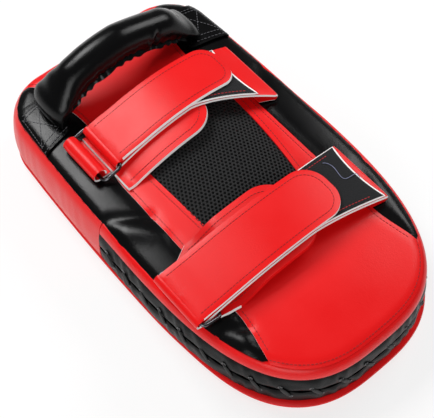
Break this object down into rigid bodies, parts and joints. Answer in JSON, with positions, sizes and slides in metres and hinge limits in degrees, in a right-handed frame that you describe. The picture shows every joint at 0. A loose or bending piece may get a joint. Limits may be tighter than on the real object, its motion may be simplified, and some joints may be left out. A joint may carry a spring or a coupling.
{
  "type": "arm-held focus pad",
  "caption": "Foam striking pad with a round laced end, a padded grip handle and hook-and-loop forearm straps over a mesh forearm bed.",
  "frame": {"origin": "middle of the flat striking face, on that face", "axes": "+Z from the striking face toward the strapped back, +Y along the pad toward the handle, +X to the right seen from the back with the handle up"},
  "size_m": [0.2144, 0.3642, 0.1164],
  "materials": {
    "red_leather": "satin red polyurethane leather",
    "black_leather": "semi-gloss black polyurethane leather",
    "lace_cord": "flat black cord",
    "air_mesh": "open black knit with six-sided holes",
    "hook_and_loop": "black hook and loop tape",
    "foam": "closed-cell foam, out of sight",
    "steel_wire": "bright plated wire"
  },
  "bodies": {
    "pad": {"striking_cover": "red_leather", "impact_foam": "foam", "core_foam": "foam", "back_foam": "foam", "handle_end_gusset": "red_leather", "rim_strip": "red_leather", "upper_lace_flap": "black_leather", "lower_lace_flap": "black_leather", "lace": "lace_cord", "left_side_panel": "black_leather", "right_side_panel": "black_leather", "centre_panel": "red_leather", "mesh_foam": "foam", "mesh_cover": "air_mesh", "left_handle_tab": "black_leather", "right_handle_tab": "black_leather", "upper_strap_base": "red_leather", "upper_loop_patch": "hook_and_loop", "upper_keeper": "red_leather", "lower_strap_base": "red_leather", "lower_loop_patch": "hook_and_loop", "lower_keeper": "red_leather"},
    "handle": {"handle_sleeve": "black_leather", "handle_foam": "foam", "handle_welt": "black_leather"},
    "upper_flap": {"upper_strap_flap": "red_leather", "upper_hook_patch": "hook_and_loop"},
    "lower_flap": {"lower_strap_flap": "red_leather", "lower_hook_patch": "hook_and_loop"},
    "upper_wire_ring": {"upper_ring": "steel_wire"},
    "lower_wire_ring": {"lower_ring": "steel_wire"},
    "upper_comfort_tongue": {"upper_tongue": "red_leather"},
    "lower_comfort_tongue": {"lower_tongue": "red_leather"}
  },
  "joints": [
    {"name": "handle_swing", "type": "hinge", "parent": "pad", "child": "handle", "pos_m": [0, 0.132, 0.0668], "axis": [1, 0, 0], "range_deg": [-20, 20]},
    {"name": "upper_flap_peel", "type": "hinge", "parent": "pad", "child": "upper_flap", "pos_m": [-0.0589, 0.0755, 0.0747], "axis": [0, -1, 0], "range_deg": [0, 150]},
    {"name": "lower_flap_peel", "type": "hinge", "parent": "pad", "child": "lower_flap", "pos_m": [-0.0974, -0.0665, 0.0744], "axis": [0, -1, 0], "range_deg": [0, 150]},
    {"name": "upper_ring_tilt", "type": "hinge", "parent": "pad", "child": "upper_wire_ring", "pos_m": [-0.0765, 0.0755, 0.06456], "axis": [0, -1, 0], "range_deg": [-3, 3]},
    {"name": "lower_ring_tilt", "type": "hinge", "parent": "pad", "child": "lower_wire_ring", "pos_m": [-0.08, -0.0665, 0.06466], "axis": [0, -1, 0], "range_deg": [-3, 3]},
    {"name": "upper_tongue_press", "type": "hinge", "parent": "pad", "child": "upper_comfort_tongue", "pos_m": [-0.0655, 0.0652, 0.0634], "axis": [0, -1, 0], "range_deg": [-4, 0]},
    {"name": "lower_tongue_press", "type": "hinge", "parent": "pad", "child": "lower_comfort_tongue", "pos_m": [-0.0655, -0.0635, 0.0631], "axis": [0, -1, 0], "range_deg": [-5, 0]}
  ]
}
